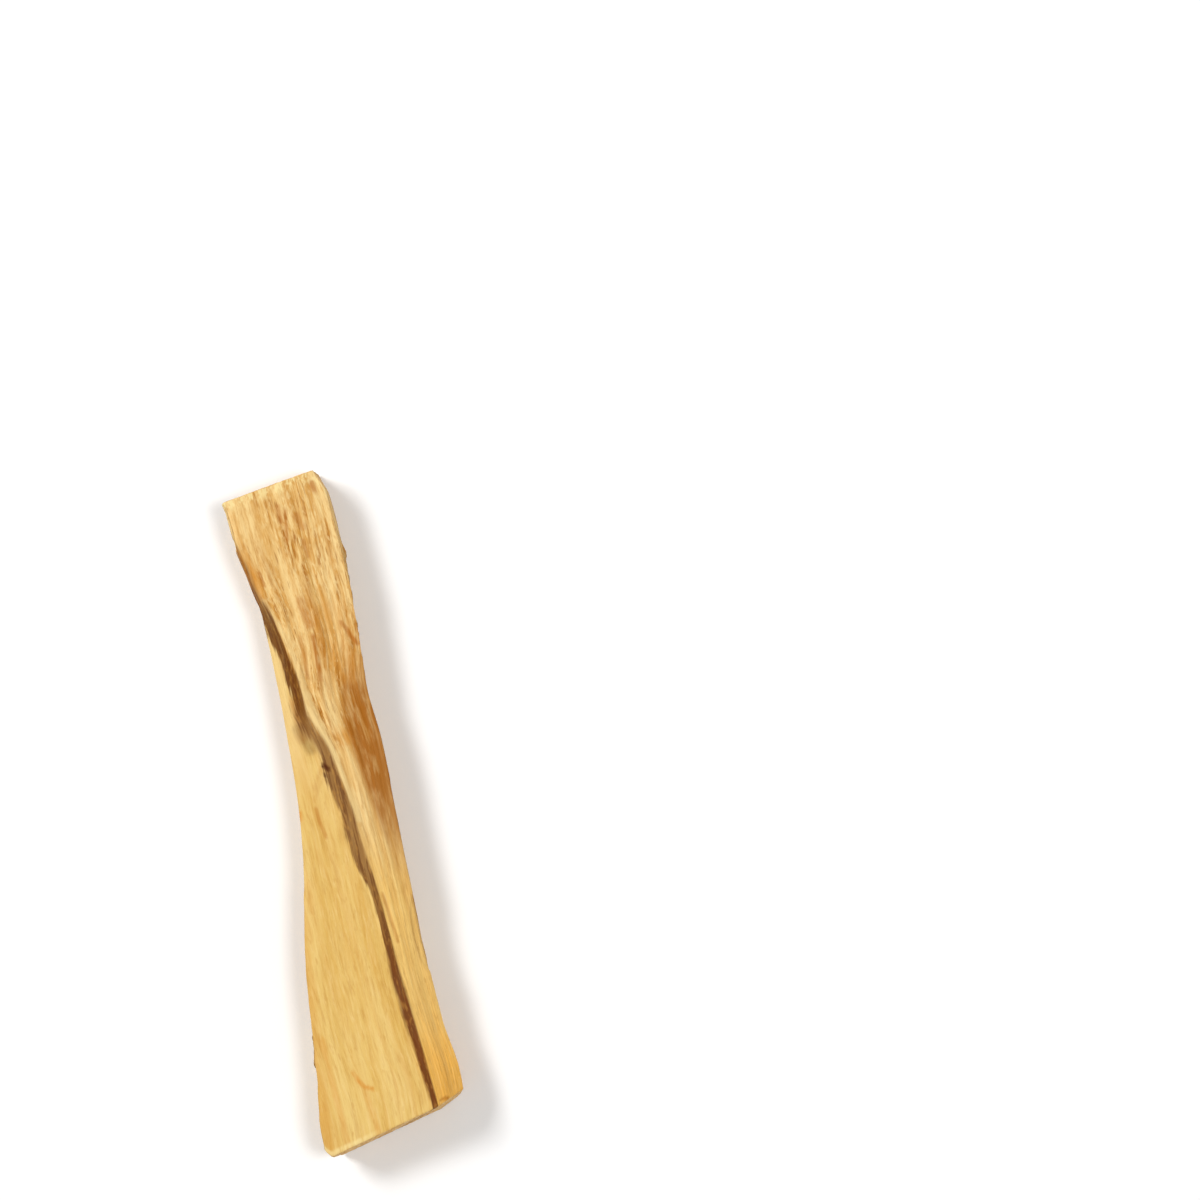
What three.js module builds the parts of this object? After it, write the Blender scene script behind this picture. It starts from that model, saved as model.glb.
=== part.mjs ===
// A stick of palo santo wood, split lengthwise along its grain and sawn off at both ends. It lies on its
// flattest split face. Its section turns as it goes: the narrow end is nearly a rectangle, and towards the
// wide end a pale face opens on the left of a ridge, while the face on its right narrows to a steep strip.
// Millimetres, +Z up, +X towards the narrow end, and the surface that the stick lies on is z = 0.
import * as THREE from 'three';

// Every long edge of the stick is a smooth curve through a few points: [along, across, height].
// along runs from the narrow end, across grows towards +Y, and height is above the surface it lies on.
const RIDGE = [
  [-2, 7.9, 9.6], [6, 7.3, 9.9], [12, 6.1, 10.1], [16, 5.1, 10.3], [20, 3.5, 10.5], [26, 2.1, 10.7],
  [34, 1.1, 10.9], [42, -1.3, 11.2], [52, -2.9, 11.6], [62, -4.1, 12], [74, -4.9, 12.5], [86, -6.1, 13],
  [101, -6.9, 13.4],
];
// The dark vein lies on a low step that falls to the left of the ridge. This is the step's foot, measured
// from the ridge.
const STEP_FOOT = [
  [-2, 0.15, -1.2], [12, 0.35, -1.2], [20, 0.9, -1], [34, 1.2, -0.6], [50, 1.1, -0.35], [74, 0.9, -0.3],
  [101, 0.7, -0.25],
];
const LEFT_EDGE = [
  [-2, 7.7, 6], [8, 6.7, 7], [16, 5.5, 8.3], [26, 5, 9.3], [38, 5, 9.7], [50, 5.4, 10.1],
  [60, 6.7, 10.3], [72, 8.7, 10.6], [84, 9.7, 10.9], [94, 10.8, 11.1], [101, 10.3, 11.1],
];
const RIGHT_EDGE = [
  [-2, -7.9, 9.2], [4, -8.4, 9.2], [13, -8.7, 9.3], [24, -8.8, 9.2], [32, -8.1, 9.2], [41, -8.7, 9.1],
  [55, -8.9, 9], [72, -9.2, 8.8], [84, -9.8, 8.6], [93, -10.9, 8.5], [101, -10.9, 8.4],
];
const LOWER_LEFT = [
  [-2, 6.9, 0.7], [10, 5.9, 0.5], [22, 4.4, 0.6], [38, 3.8, 0.9], [54, 4.6, 0.6], [68, 6.6, 0.5],
  [84, 8.3, 0.8], [101, 9.3, 0.6],
];
const LOWER_RIGHT = [
  [-2, -6.9, 0.6], [14, -7.7, 0.5], [32, -7, 0.8], [48, -7.9, 0.5], [70, -8.2, 0.7], [86, -9, 0.5],
  [101, -9.8, 0.8],
];
// How far the flat that touches the surface starts inside each lower edge.
const FLAT_INSET = 1;

// The faces in order round the section, from the ridge to the right and back to it underneath. Each has
// its count of strips, the depth of its broad grain ridges, and the width over which they are laid out.
const FACES = [
  { name: 'top', strips: 12, ridges: 0.2, width: 11 },
  { name: 'right', strips: 8, ridges: 0.42, width: 9 },
  { name: 'rightChamfer', strips: 1, ridges: 0.12, width: 1 },
  { name: 'flat', strips: 8, ridges: 0.5, width: 13 },
  { name: 'leftChamfer', strips: 1, ridges: 0.12, width: 1 },
  { name: 'left', strips: 8, ridges: 0.38, width: 9 },
  { name: 'pale', strips: 13, ridges: 0.18, width: 12 },
  { name: 'step', strips: 2, ridges: 0.08, width: 2 },
];
// The broad grain ridges: about how far apart and how long they are, and what sets one face's off from the
// next one's.
const RIDGE_SPACING = 2.1;
const RIDGE_LENGTH = 38;
const FACE_OFFSET = 9.3;
// Where the grain on the underside is lower than this share of its depth, it doesn't touch the surface.
const UNDERSIDE_FLAT = 0.45;

// Long ledges, where a layer of wood split away: beyond the share across the face, the surface stands
// lower by the drop between the two places along the stick.
const LEDGES = [
  { face: 'top', share: 0.62, from: 2, to: 46, drop: 0.16 },
  { face: 'top', share: 0.34, from: 28, to: 82, drop: 0.14 },
  { face: 'pale', share: 0.55, from: 56, to: 99, drop: -0.2 },
  { face: 'right', share: 0.45, from: 8, to: 58, drop: 0.5 },
  { face: 'right', share: 0.7, from: 44, to: 96, drop: 0.6 },
  { face: 'left', share: 0.35, from: 24, to: 92, drop: 0.5 },
  { face: 'left', share: 0.68, from: 2, to: 50, drop: 0.45 },
];
// A ledge starts and ends over a taper, falls over a slope across the face, and closes again from a share
// near the face's far edge, which keeps its own curve.
const LEDGE_TAPER = 9;
const LEDGE_SLOPE = 0.1;
const LEDGE_CLOSES = 0.85;

// Chips knocked out of the edges, as scoops: centre, half length along the stick, half width and depth.
const CHIPS = [
  { at: [23.5, -8.8, 9.4], half: [4.5, 2], depth: 0.35 },
  { at: [33, -8.1, 6.4], half: [7, 2.4], depth: 0.5 },
  { at: [4, 7.7, 9], half: [4.5, 1.6], depth: 0.4 },
  { at: [70, -9.3, 8.6], half: [6, 1.5], depth: 0.45 },
  { at: [57.5, 6.3, 9.2], half: [5, 1.4], depth: 0.3 },
  { at: [90, 10.6, 10.1], half: [5, 1.3], depth: 0.35 },
  { at: [44, 4.9, 3.5], half: [9, 2.4], depth: 0.7 },
  { at: [80, -9.2, 2.2], half: [8, 2], depth: 0.8 },
  { at: [12, -7.7, 1.5], half: [7, 1.8], depth: 0.7 },
];

// The saw cuts. Each runs askew across the stick: its place along the stick, its slant across and in
// height, and how far its effect on the grain behind it reaches.
const NARROW_CUT = { along: -0.4, slant: 0.16, lean: 0.04 };
const WIDE_CUT = { along: 97.8, slant: 0.245, lean: -0.04 };
const CUT_REACH = 16;
const CUT_MIDDLE = 6;
// The narrow end's right corner is broken off askew, deepest at the top. The wide end is cut further back
// to the right of the ridge, and its left corner is worn.
const BROKEN_CORNER = { beyond: -6.4, slant: 2.5, top: 9.3, fade: 0.05 };
const CUT_BACK = { beyond: -6.8, slant: 0.22 };
const WORN_LEFT = { beyond: 9.9, slant: 1.5 };

const RINGS = 69;
// How much the sawn rims are worn, and about how far a rim is from the middle of its end.
const WEAR = 0.3;
const MEAN_REACH = 8;
// The rings inside a sawn end, as shares of the way from its rim to its middle.
const END_RINGS = [0.12, 0.3];
const WOOD = { color: 0xdcae68, roughness: 0.68, metalness: 0 };

const clamp = (value) => Math.min(Math.max(value, 0), 1);
const ease = (from, to, value) => {
  const share = clamp((value - from) / (to - from));
  return share * share * (3 - 2 * share);
};
const mix = (a, b, share) => a + (b - a) * share;

// The smooth curve through an edge's points, at one place along the stick.
function onCurve(points, along) {
  const last = points.length - 1;
  let i = 0;
  while (i < last - 1 && along > points[i + 1][0]) i += 1;
  const slope = (k, axis) => {
    const before = points[Math.max(k - 1, 0)];
    const after = points[Math.min(k + 1, last)];
    return (after[axis] - before[axis]) / (after[0] - before[0]);
  };
  const span = points[i + 1][0] - points[i][0];
  const s = (along - points[i][0]) / span;
  const at = (axis) => (2 * s ** 3 - 3 * s ** 2 + 1) * points[i][axis]
    + (s ** 3 - 2 * s ** 2 + s) * span * slope(i, axis)
    + (3 * s ** 2 - 2 * s ** 3) * points[i + 1][axis]
    + (s ** 3 - s ** 2) * span * slope(i + 1, axis);
  return { across: at(1), height: at(2) };
}

// The corners of the section, in the order of the faces that start at them.
function cornersAt(along) {
  const ridge = onCurve(RIDGE, along);
  const foot = onCurve(STEP_FOOT, along);
  const lowerRight = onCurve(LOWER_RIGHT, along);
  const lowerLeft = onCurve(LOWER_LEFT, along);
  return [
    ridge,
    onCurve(RIGHT_EDGE, along),
    lowerRight,
    { across: lowerRight.across + FLAT_INSET, height: 0 },
    { across: lowerLeft.across - FLAT_INSET, height: 0 },
    lowerLeft,
    onCurve(LEFT_EDGE, along),
    { across: ridge.across + foot.across, height: ridge.height + foot.height },
  ];
}

// Smooth random hills between -1 and 1, the same in every run.
function hills(u, v) {
  const corner = (i, j) => {
    const value = Math.sin(i * 127.1 + j * 311.7) * 43758.5453;
    return 2 * (value - Math.floor(value)) - 1;
  };
  const i = Math.floor(u);
  const j = Math.floor(v);
  const a = ease(0, 1, u - i);
  const b = ease(0, 1, v - j);
  return mix(
    mix(corner(i, j), corner(i + 1, j), a),
    mix(corner(i, j + 1), corner(i + 1, j + 1), a),
    b,
  );
}

function ledgeDrop(face, share, along) {
  return LEDGES.filter((ledge) => ledge.face === face.name).reduce((sum, ledge) => {
    const across = ease(ledge.share - LEDGE_SLOPE, ledge.share + LEDGE_SLOPE, share);
    const start = ease(ledge.from, ledge.from + LEDGE_TAPER, along);
    const end = 1 - ease(ledge.to - LEDGE_TAPER, ledge.to, along);
    return sum + ledge.drop * across * start * end * (1 - ease(LEDGE_CLOSES, 1, share));
  }, 0);
}

function chipDepth(along, across, height) {
  return CHIPS.reduce((sum, { at, half, depth }) => {
    const length = (along - at[0]) / half[0];
    const width = Math.hypot(across - at[1], height - at[2]) / half[1];
    const inside = Math.max(1 - length ** 2 - width ** 2, 0);
    return sum + depth * Math.sqrt(inside);
  }, 0);
}

// One ring of the surface: points round the section, moved in by the ledges, chips and grain ridges.
function ringAt(along) {
  const corners = cornersAt(along);
  const ring = [];
  FACES.forEach((face, f) => {
    const start = corners[f];
    const end = corners[(f + 1) % corners.length];
    const before = corners[(f + corners.length - 1) % corners.length];
    const outward = (from, to) => {
      const length = Math.hypot(to.across - from.across, to.height - from.height);
      return [(to.height - from.height) / length, (from.across - to.across) / length];
    };
    const own = outward(start, end);
    const other = outward(before, start);
    for (let k = 0; k < face.strips; k += 1) {
      const share = k / face.strips;
      const across = mix(start.across, end.across, share);
      const height = mix(start.height, end.height, share);
      const hill = hills((share * face.width) / RIDGE_SPACING + FACE_OFFSET * f, along / RIDGE_LENGTH);
      // The underside only has hollows, so that it lies on its flat parts.
      const ridges = face.ridges * (face.name === 'flat' ? Math.min(hill + UNDERSIDE_FLAT, 0) : hill);
      const inward = ledgeDrop(face, share, along) + chipDepth(along, across, height) - ridges;
      // At a corner the point moves along the mean of the two faces' outward directions.
      const normal = k === 0 ? [(own[0] + other[0]) / 2, (own[1] + other[1]) / 2] : own;
      ring.push({
        across: across - normal[0] * inward,
        height: Math.max(height - normal[1] * inward, 0),
      });
    }
  });
  return ring;
}

// How far the saw cuts move a point along the stick, from the ring's own place.
function cutShift(along, point) {
  const skew = (cut) => cut.slant * point.across + cut.lean * (point.height - CUT_MIDDLE);
  const { beyond, fade, top } = BROKEN_CORNER;
  const broken = beyond - point.across + fade * (point.height - top);
  const narrow = skew(NARROW_CUT) + Math.max(broken, 0) * BROKEN_CORNER.slant;
  const wide = skew(WIDE_CUT) - Math.max(CUT_BACK.beyond - point.across, 0) * CUT_BACK.slant
    - Math.max(point.across - WORN_LEFT.beyond, 0) * WORN_LEFT.slant;
  return narrow * (1 - clamp((along - NARROW_CUT.along) / CUT_REACH))
    + wide * (1 - clamp((WIDE_CUT.along - along) / CUT_REACH));
}

// A ring of a sawn end: its rim drawn in towards the middle of the section, by a share of the way.
function drawnIn(points, share) {
  return points.map((point) => ({
    across: mix(point.across, 0, share),
    height: mix(point.height, CUT_MIDDLE, share),
  }));
}

function stickGeometry() {
  const rings = [];
  const addRing = (along, points, offset = 0) => rings.push(points.map((point) => [
    -(along + offset + cutShift(along, point)), point.across, point.height,
  ]));
  const narrowRim = ringAt(NARROW_CUT.along);
  const wideRim = ringAt(WIDE_CUT.along);
  // The rim of each sawn end is worn to a small bevel.
  const inside = [...END_RINGS].reverse().concat(WEAR / MEAN_REACH);
  inside.forEach((share) => addRing(NARROW_CUT.along, drawnIn(narrowRim, share)));
  addRing(NARROW_CUT.along, narrowRim, WEAR);
  for (let r = 1; r < RINGS; r += 1) {
    const along = mix(NARROW_CUT.along, WIDE_CUT.along, r / RINGS);
    addRing(along, ringAt(along));
  }
  addRing(WIDE_CUT.along, wideRim, -WEAR);
  inside.reverse().forEach((share) => addRing(WIDE_CUT.along, drawnIn(wideRim, share)));
  const around = rings[0].length;
  const faces = [];
  for (let r = 0; r + 1 < rings.length; r += 1) {
    for (let k = 0; k < around; k += 1) {
      const a = r * around + k;
      const b = r * around + ((k + 1) % around);
      faces.push(a, a + around, b, b, a + around, b + around);
    }
  }
  const cap = (r, turned) => {
    const outline = rings[r].map((point) => new THREE.Vector2(point[1], point[2]));
    THREE.ShapeUtils.triangulateShape(outline, []).forEach(([a, b, c]) => {
      const corner = (k) => r * around + k;
      faces.push(corner(a), corner(turned ? c : b), corner(turned ? b : c));
    });
  };
  cap(0, false);
  cap(rings.length - 1, true);
  const geometry = new THREE.BufferGeometry();
  geometry.setAttribute('position', new THREE.Float32BufferAttribute(rings.flat(2), 3));
  geometry.setIndex(faces);
  // The origin is under the middle of the stick's box.
  geometry.computeBoundingBox();
  const middle = geometry.boundingBox.getCenter(new THREE.Vector3());
  geometry.translate(-middle.x, -middle.y, 0);
  geometry.computeVertexNormals();
  return geometry;
}

const stick = new THREE.Mesh(stickGeometry(), new THREE.MeshStandardMaterial(WOOD));
stick.name = 'palo_santo_stick';

const part = new THREE.Group();
part.add(stick);
export default part;
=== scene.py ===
import math

import bpy
import numpy as np
from mathutils import Matrix, Vector


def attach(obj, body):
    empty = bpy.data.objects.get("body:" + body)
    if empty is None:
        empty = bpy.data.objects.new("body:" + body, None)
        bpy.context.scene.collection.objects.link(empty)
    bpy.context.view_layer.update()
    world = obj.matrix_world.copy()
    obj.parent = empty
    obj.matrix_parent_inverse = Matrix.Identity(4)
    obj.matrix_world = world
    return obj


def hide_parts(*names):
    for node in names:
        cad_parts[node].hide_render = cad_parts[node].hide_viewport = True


# A split and sawn stick of palo santo wood on a pale floor. The frame's solid has its form. Here it gets a
# fine surface with the same form, and the wood's grain, colours and vein as one solid pattern.
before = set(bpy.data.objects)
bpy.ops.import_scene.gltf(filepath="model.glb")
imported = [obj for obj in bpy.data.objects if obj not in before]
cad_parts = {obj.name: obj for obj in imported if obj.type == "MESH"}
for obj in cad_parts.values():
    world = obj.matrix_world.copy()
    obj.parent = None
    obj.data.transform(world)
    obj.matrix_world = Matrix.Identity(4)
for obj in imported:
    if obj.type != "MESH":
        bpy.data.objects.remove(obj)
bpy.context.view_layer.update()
NODE = "palo_santo_stick"
PIECE = "palo_santo_wood"
MM = 0.001

# The form, in millimetres, as in the frame's solid. Every long edge of the stick is a smooth curve through
# a few points: [along, across, height]. along runs from the narrow end, across grows towards +Y.
RIDGE = [
    [-2, 7.9, 9.6], [6, 7.3, 9.9], [12, 6.1, 10.1], [16, 5.1, 10.3], [20, 3.5, 10.5], [26, 2.1, 10.7],
    [34, 1.1, 10.9], [42, -1.3, 11.2], [52, -2.9, 11.6], [62, -4.1, 12], [74, -4.9, 12.5], [86, -6.1, 13],
    [101, -6.9, 13.4],
]
# The foot of the low step to the left of the ridge, measured from the ridge.
STEP_FOOT = [
    [-2, 0.15, -1.2], [12, 0.35, -1.2], [20, 0.9, -1], [34, 1.2, -0.6], [50, 1.1, -0.35], [74, 0.9, -0.3],
    [101, 0.7, -0.25],
]
LEFT_EDGE = [
    [-2, 7.7, 6], [8, 6.7, 7], [16, 5.5, 8.3], [26, 5, 9.3], [38, 5, 9.7], [50, 5.4, 10.1],
    [60, 6.7, 10.3], [72, 8.7, 10.6], [84, 9.7, 10.9], [94, 10.8, 11.1], [101, 10.3, 11.1],
]
RIGHT_EDGE = [
    [-2, -7.9, 9.2], [4, -8.4, 9.2], [13, -8.7, 9.3], [24, -8.8, 9.2], [32, -8.1, 9.2], [41, -8.7, 9.1],
    [55, -8.9, 9], [72, -9.2, 8.8], [84, -9.8, 8.6], [93, -10.9, 8.5], [101, -10.9, 8.4],
]
LOWER_LEFT = [
    [-2, 6.9, 0.7], [10, 5.9, 0.5], [22, 4.4, 0.6], [38, 3.8, 0.9], [54, 4.6, 0.6], [68, 6.6, 0.5],
    [84, 8.3, 0.8], [101, 9.3, 0.6],
]
LOWER_RIGHT = [
    [-2, -6.9, 0.6], [14, -7.7, 0.5], [32, -7, 0.8], [48, -7.9, 0.5], [70, -8.2, 0.7], [86, -9, 0.5],
    [101, -9.8, 0.8],
]
# How far the flat underside is set in from the lower edges.
FLAT_INSET = 1

# The faces in order round the section, from the ridge to the right. columns is how finely each is meshed,
# ridges the depth of its broad grain ridges, width the width over which they are laid out, and torn how
# strongly its fibres are torn into fine steps, at the narrow end and at the wide end.
FACES = [
    {"name": "top", "columns": 66, "ridges": 0.2, "width": 11, "torn": [1.3, 0.55]},
    {"name": "right", "columns": 52, "ridges": 0.42, "width": 9, "torn": [2.7, 2.7]},
    {"name": "right chamfer", "columns": 8, "ridges": 0.12, "width": 1, "torn": [1, 1]},
    {"name": "flat", "columns": 58, "ridges": 0.5, "width": 13, "torn": [2.2, 2.2]},
    {"name": "left chamfer", "columns": 8, "ridges": 0.12, "width": 1, "torn": [1, 1]},
    {"name": "left", "columns": 52, "ridges": 0.38, "width": 9, "torn": [2.7, 2.7]},
    {"name": "pale", "columns": 72, "ridges": 0.18, "width": 12, "torn": [0.5, 0.4]},
    {"name": "step", "columns": 10, "ridges": 0.08, "width": 2, "torn": [0.8, 0.5]},
]
# Where along the stick the tearing changes from its strength at the narrow end to that at the wide end.
CALMS = (32, 48)
# Near their upper edge the split sides are less torn: this share of their strength at the edge itself, and
# all of it this far below.
SPLIT_SIDES = ("right", "left")
EDGE_TORN = 0.35
EDGE_REACH = 2.4
# The broad grain ridges: how far apart and how long they are, how far apart the faces lie in their noise,
# and how much is taken off them on the underside, where they only go inwards.
RIDGE_SPACING = 2.1
RIDGE_LENGTH = 38
FACE_OFFSET = 9.3
UNDERSIDE_FLAT = 0.45

# Ledges where a layer of the wood has split off: from a share of a face's width on, the surface drops.
LEDGES = [
    {"face": "top", "share": 0.62, "from": 2, "to": 46, "drop": 0.16},
    {"face": "top", "share": 0.34, "from": 28, "to": 82, "drop": 0.14},
    {"face": "pale", "share": 0.55, "from": 56, "to": 99, "drop": -0.2},
    {"face": "right", "share": 0.45, "from": 8, "to": 58, "drop": 0.5},
    {"face": "right", "share": 0.7, "from": 44, "to": 96, "drop": 0.6},
    {"face": "left", "share": 0.35, "from": 24, "to": 92, "drop": 0.5},
    {"face": "left", "share": 0.68, "from": 2, "to": 50, "drop": 0.45},
]
# A ledge's ends taper over this length, its drop is spread over twice this share of the face's width,
# and it closes again between the last share and the edge of the face.
LEDGE_TAPER = 9
LEDGE_SLOPE = 0.035
LEDGE_CLOSES = 0.85

# Chips out of the edges and sides: their middle, [along, across, height], half their length and half
# their width, and how deep they are.
CHIPS = [
    {"at": [23.5, -8.8, 9.4], "half": [4.5, 2], "depth": 0.35},
    {"at": [33, -8.1, 6.4], "half": [7, 2.4], "depth": 0.5},
    {"at": [4, 7.7, 9], "half": [4.5, 1.6], "depth": 0.4},
    {"at": [70, -9.3, 8.6], "half": [6, 1.5], "depth": 0.45},
    {"at": [57.5, 6.3, 9.2], "half": [5, 1.4], "depth": 0.3},
    {"at": [90, 10.6, 10.1], "half": [5, 1.3], "depth": 0.35},
    {"at": [44, 4.9, 3.5], "half": [9, 2.4], "depth": 0.7},
    {"at": [80, -9.2, 2.2], "half": [8, 2], "depth": 0.8},
    {"at": [12, -7.7, 1.5], "half": [7, 1.8], "depth": 0.7},
]

# The saw cuts, askew across the stick. slant and lean are how far along the stick a cut moves for each
# millimetre across and up. outward and seed are for the marks of the saw on it.
NARROW_CUT = {"along": -0.4, "slant": 0.16, "lean": 0.04, "outward": -1, "seed": 3.5}
WIDE_CUT = {"along": 97.8, "slant": 0.245, "lean": -0.04, "outward": 1, "seed": 8.5}
# How far from a cut the stick is sheared with it, and the height of the middle of both cuts.
CUT_REACH = 16
CUT_MIDDLE = 6
# The right corner of the narrow end is broken. At the wide end the right corner is cut back and the
# left one worn. Each begins beyond a place across and slants from there.
BROKEN_CORNER = {"beyond": -6.4, "slant": 2.5, "top": 9.3, "fade": 0.05}
CUT_BACK = {"beyond": -6.8, "slant": 0.22}
WORN_LEFT = {"beyond": 9.9, "slant": 1.5}

# How finely the surface is meshed: rings along the stick, rings inside each sawn end, and how often the
# sharp corners of the section are averaged with their neighbours.
RINGS = 262
END_RINGS = 11
ROUNDING = 3
# The bevel on the sawn rims, and how far it is from a rim to the middle of its end, about.
WEAR = 0.16
END_REACH = 8.0

# The fine relief of the split wood is noise along the fibres: how wide and how long its hills are, in
# millimetres, and its place in the noise. cracked is where there are cracks, and patches where all of
# the relief is stronger.
RELIEF = {
    "wander": (3.0, 30, 4.7),
    "steps": (1.9, 34, 9.1),
    "ridges": (0.8, 26, 2.3),
    "furrows": (0.55, 15, 6.9),
    "threads": (0.36, 6, 1.5),
    "cracks": (1.5, 24, 12.4),
    "cracked": (2.4, 16, 14.8),
    "patches": (4.0, 22, 8.2),
}
# How far the fibres wander, how many steps there are to a height of 1 in their noise, the share of a step
# that its side takes, and how high or deep each kind of relief is.
WANDER = 0.35
STEP_COUNT = 2.6
STEP_SIDE = 0.14
STEP_HEIGHT = 0.08
RIDGE_HEIGHT = 0.07
FURROW_DEPTH = 0.08
THREAD_HEIGHT = 0.04
CRACK_DEPTH = 0.4
# Cracks are where their noise is this near to 0.
CRACK_SIDE = 0.09
# Over which part of their noise the cracks set in, and how torn the wood is there.
CRACKED_PART = (0.1, 0.3)
CRACKED_TORN = (1.0, 2.0)
# The relief has this strength all over, and this much more in its patches.
EVEN_RELIEF = 0.6
PATCH_RELIEF = 0.8
PATCH_PART = (-0.5, 0.5)
# Between these heights over the floor the relief fades to one that only goes inwards.
UNDERSIDE_FADE = (1.2, 0.2)

# The marks of the saw's teeth on the sawn ends: [size, depth]. They are long and lean a little.
SAW_MARKS = ([0.55, 0.05], [0.22, 0.03])
SAW_LEAN = 0.3
SAW_STRETCH = 0.08
END_GRAIN = [0.4, 0.03]

# The dark vein: [along, middle, width]. The middle is measured across from the ridge. Its sheet leans as it
# goes down through the wood.
VEIN = [
    [-2, 0.5, 1.0], [8, 0.1, 1.0], [13, 0.2, 1.3], [16, 0.45, 1.5], [22.5, 0.65, 1.1], [28.8, 0.6, 1.3],
    [32, 0.65, 1.4], [36.6, 1.1, 1.6], [40, 0.6, 1.3], [44.7, 0.95, 1.75], [50, 0.75, 1.75],
    [54.2, 0.95, 1.9], [58.5, 0.95, 1.85], [60.5, 0.6, 1.45], [62.5, 0.4, 1.15], [66.7, 0.35, 1.1],
    [73, 0.3, 1.25], [79.3, 0.45, 1.4], [85.6, 0.5, 1.35], [91.7, 0.3, 1.1], [95, 0.1, 0.9], [101, 0.0, 0.8],
]
VEIN_LEAN = -0.5
# The fibres run into the ridge from the right at a small angle, because that face narrows. Its width in
# fibres is this many times the square root of its width.
FIBRE_SPREAD = 3.0
FIBRE_RISE = 0.012


def ease(low, high, value):
    share = np.clip((value - low) / (high - low), 0, 1)
    return share * share * (3 - 2 * share)


def mix(a, b, share):
    return a + (b - a) * share


def on_curve(points, along):
    """The smooth curve through an edge's points, at many places along: one column for each value."""
    points = np.array(points, float)
    places, values = points[:, 0], points[:, 1:]
    last = len(places) - 1
    before = np.maximum(np.arange(last + 1) - 1, 0)
    after = np.minimum(np.arange(last + 1) + 1, last)
    slopes = (values[after] - values[before]) / (places[after] - places[before])[:, None]
    i = np.clip(np.searchsorted(places, along) - 1, 0, last - 1)
    span = (places[i + 1] - places[i])[..., None]
    s = (np.asarray(along) - places[i])[..., None] / span
    return (
        (2 * s**3 - 3 * s**2 + 1) * values[i]
        + (s**3 - 2 * s**2 + s) * span * slopes[i]
        + (3 * s**2 - 2 * s**3) * values[i + 1]
        + (s**3 - s**2) * span * slopes[i + 1]
    )


def corners_at(along):
    """The section's corners (ring, corner, [across, height]) in the order of the faces that start at them."""
    ridge = on_curve(RIDGE, along)
    lower_right, lower_left = on_curve(LOWER_RIGHT, along), on_curve(LOWER_LEFT, along)
    flat_right = np.stack([lower_right[:, 0] + FLAT_INSET, 0 * along], 1)
    flat_left = np.stack([lower_left[:, 0] - FLAT_INSET, 0 * along], 1)
    return np.stack([
        ridge, on_curve(RIGHT_EDGE, along), lower_right, flat_right, flat_left, lower_left,
        on_curve(LEFT_EDGE, along), ridge + on_curve(STEP_FOOT, along),
    ], 1)


# The sine whose far digits give the hills their heights at whole numbers.
HILL_STEPS = (127.1, 311.7)
HILL_SIZE = 43758.5453


def hills(u, v):
    """Smooth random hills between -1 and 1, the same as the frame's solid has."""
    def corner(i, j):
        value = np.sin(i * HILL_STEPS[0] + j * HILL_STEPS[1]) * HILL_SIZE
        return 2 * (value - np.floor(value)) - 1

    i, j = np.floor(u), np.floor(v)
    a, b = ease(0, 1, u - i), ease(0, 1, v - j)
    return mix(mix(corner(i, j), corner(i + 1, j), a), mix(corner(i, j + 1), corner(i + 1, j + 1), a), b)


# The random directions of the noise, and what brings it to about -1 to 1.
DRAWS = np.random.RandomState(11)
DIRECTION_COUNT = 256
SHUFFLED = np.tile(DRAWS.permutation(DIRECTION_COUNT), 2)
DIRECTIONS = DRAWS.normal(size=(DIRECTION_COUNT, 3))
DIRECTIONS /= np.linalg.norm(DIRECTIONS, axis=1)[:, None]
NOISE_HEIGHT = 1.6


def noise(points):
    """Gradient noise at many points (..., 3), about -1 to 1, the same in every run."""
    low = np.floor(points).astype(int)
    part = points - low
    fade = part**3 * (part * (part * 6 - 15) + 10)
    total = 0
    for step in np.ndindex(2, 2, 2):
        i, j, k = np.moveaxis((low + step) % DIRECTION_COUNT, -1, 0)
        direction = DIRECTIONS[SHUFFLED[SHUFFLED[SHUFFLED[i] + j] + k]]
        weight = np.prod(np.where(step, fade, 1 - fade), axis=-1)
        total = total + weight * np.sum(direction * (part - step), axis=-1)
    return NOISE_HEIGHT * total


def fibre_noise(fibres, name):
    """One of the noises of RELIEF, fine across the fibres and long along them."""
    across, along, offset = RELIEF[name]
    return noise(fibres / np.array([across, across, along]) + offset)


def fibre_places(along, across, height):
    """Where a point lies among the fibres: across them, up, and along them, in millimetres."""
    ridge = on_curve(RIDGE, along)[..., 0]
    right = on_curve(RIGHT_EDGE, along)[..., 0]
    spread = FIBRE_SPREAD * np.sqrt(ridge - right)
    inside = (across - right) / (ridge - right) * spread
    return np.stack([
        np.where(across < ridge, inside, spread + across - ridge),
        height + FIBRE_RISE * along,
        along,
    ], -1)


def vein_places(along, across, height):
    """0 at the vein's right side and 1 at its left side, wherever its sheet is cut."""
    ridge = on_curve(RIDGE, along)
    vein = on_curve(VEIN, along)
    sheet = across - ridge[..., 0] - VEIN_LEAN * (height - ridge[..., 1])
    right = vein[..., 0] - vein[..., 1] / 2
    return (sheet - right) / vein[..., 1]


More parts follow.
